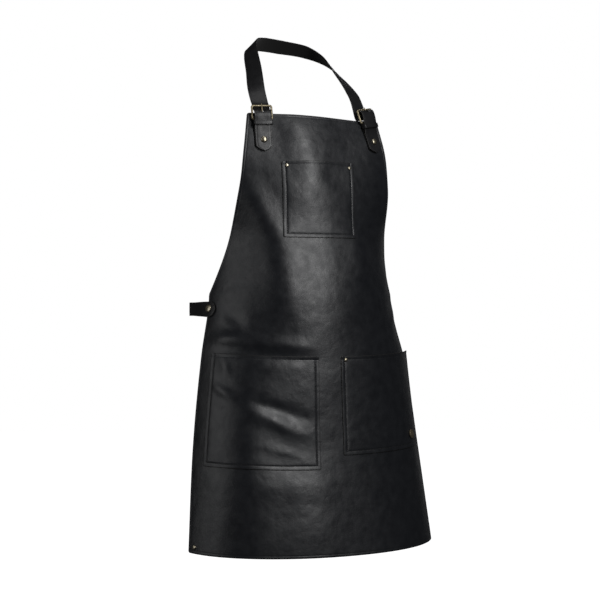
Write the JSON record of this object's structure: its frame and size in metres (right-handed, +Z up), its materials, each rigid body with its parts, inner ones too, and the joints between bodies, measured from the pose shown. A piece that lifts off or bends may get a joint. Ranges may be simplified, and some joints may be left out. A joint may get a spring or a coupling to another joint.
{
  "type": "leather bib apron",
  "caption": "Worn-form black leather bib apron with a buckled neck strap, waist straps clasped behind the back, a chest pocket and hip pockets, held with brass rivets.",
  "frame": {"origin": "middle of the neck strap's inner face at the nape, where the strap rests on the neck", "axes": "+Z up, -Y is the front of the apron, -X is the wearer's right"},
  "size_m": [0.4859, 0.3193, 0.963],
  "materials": {
    "black_leather": "satin",
    "strap_leather": "satin",
    "antique_brass": "antique, satin",
    "dull_bronze": "aged, dull"
  },
  "bodies": {
    "root": {"apron_panel": "black_leather", "chest_pocket": "black_leather", "right_hip_pocket": "black_leather", "left_hip_pocket": "black_leather", "right_buckle_tab": "strap_leather", "right_keeper": "strap_leather", "left_buckle_tab": "strap_leather", "left_keeper": "strap_leather", "neck_strap": "strap_leather", "waist_strap_right": "strap_leather", "waist_strap_left": "strap_leather", "chest_pocket_rivet_right": "antique_brass", "chest_pocket_rivet_left": "antique_brass", "left_hip_pocket_rivet": "antique_brass", "hem_rivet": "antique_brass", "right_buckle": "antique_brass", "right_prong": "antique_brass", "right_tab_rivet": "antique_brass", "left_buckle": "antique_brass", "left_prong": "antique_brass", "left_tab_rivet": "antique_brass", "waist_rivet_right": "antique_brass", "waist_rivet_left": "antique_brass", "waist_clasp": "antique_brass", "pocket_stud": "dull_bronze"}
  },
  "joints": []
}
